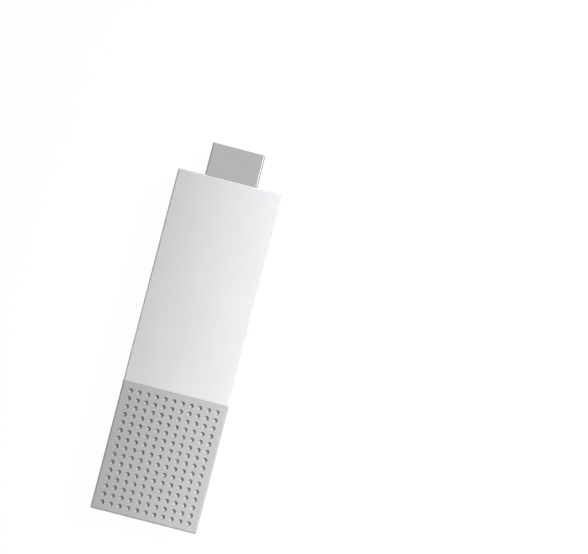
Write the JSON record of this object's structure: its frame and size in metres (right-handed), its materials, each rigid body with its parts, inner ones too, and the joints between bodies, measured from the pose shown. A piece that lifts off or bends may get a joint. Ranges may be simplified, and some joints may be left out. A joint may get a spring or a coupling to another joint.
{
  "type": "streaming media stick",
  "caption": "Flat rectangular streaming stick: white moulded cover, grey perforated vent cover at the tail, folded steel video plug at the nose, side power port and side push button.",
  "frame": {"origin": "middle of the outline of housing and plug seen from the front, on the plane under the feet", "axes": "+Y from the tail to the plug, +Z out of the front face, +X to the right seen from the front"},
  "size_m": [0.0276, 0.0978, 0.013],
  "materials": {
    "white_gloss": "gloss",
    "white_satin": "satin",
    "grey_matte": "fine matt",
    "plug_steel": "nickel plated, satin",
    "insulator_black": "matt",
    "contact_gold": "gold plated",
    "board_green": "solder mask",
    "screw_steel": "zinc plated",
    "chip_black": "matt moulding",
    "ferrite_grey": "matt",
    "capacitor_tan": "matt",
    "tantalum_amber": "satin",
    "crystal_can": "satin",
    "shield_tin": "tin plated",
    "pad_blue": "soft",
    "sink_aluminium": "anodised",
    "antenna_brass": "bright",
    "light_ivory": "clear",
    "screen_weave": "fine weave",
    "foot_silicone": "soft"
  },
  "bodies": {
    "housing": {"front_cover": "white_gloss", "vent_cover": "grey_matte", "vent_screen": "screen_weave", "back_cover": "white_satin", "rest_feet": "foot_silicone", "plug_shell": "plug_steel", "plug_insulator": "insulator_black", "plug_upper_contacts": "contact_gold", "plug_lower_contacts": "contact_gold", "main_board": "board_green", "board_screws": "screw_steel", "processor_chip": "chip_black", "memory_chips": "chip_black", "flash_chip": "chip_black", "power_chip": "chip_black", "power_inductors": "ferrite_grey", "ceramic_capacitors": "capacitor_tan", "tantalum_capacitors": "tantalum_amber", "chip_resistors": "chip_black", "crystals": "crystal_can", "plug_chokes": "ferrite_grey", "surge_arrays": "chip_black", "status_light": "light_ivory", "shield_frame": "shield_tin", "shield_lid": "shield_tin", "chip_pad": "pad_blue", "sink_pad": "pad_blue", "heat_sink": "sink_aluminium", "lower_pad": "pad_blue", "lower_spreader": "sink_aluminium", "radio_board": "board_green", "radio_shield": "shield_tin", "left_antenna": "antenna_brass", "right_antenna": "antenna_brass", "port_shell": "plug_steel", "port_tongue": "insulator_black", "port_contacts": "contact_gold", "switch_base": "insulator_black", "switch_frame": "shield_tin", "switch_dome": "shield_tin"},
    "reset_key": {"reset_button": "white_satin", "switch_plunger": "insulator_black"}
  },
  "joints": [
    {"name": "reset_press", "type": "slide", "parent": "housing", "child": "reset_key", "axis": [-1, 0, 0], "range_m": [0, 0.0003], "stiffness_N_per_m": 2000, "springref_m": -0.0002}
  ]
}
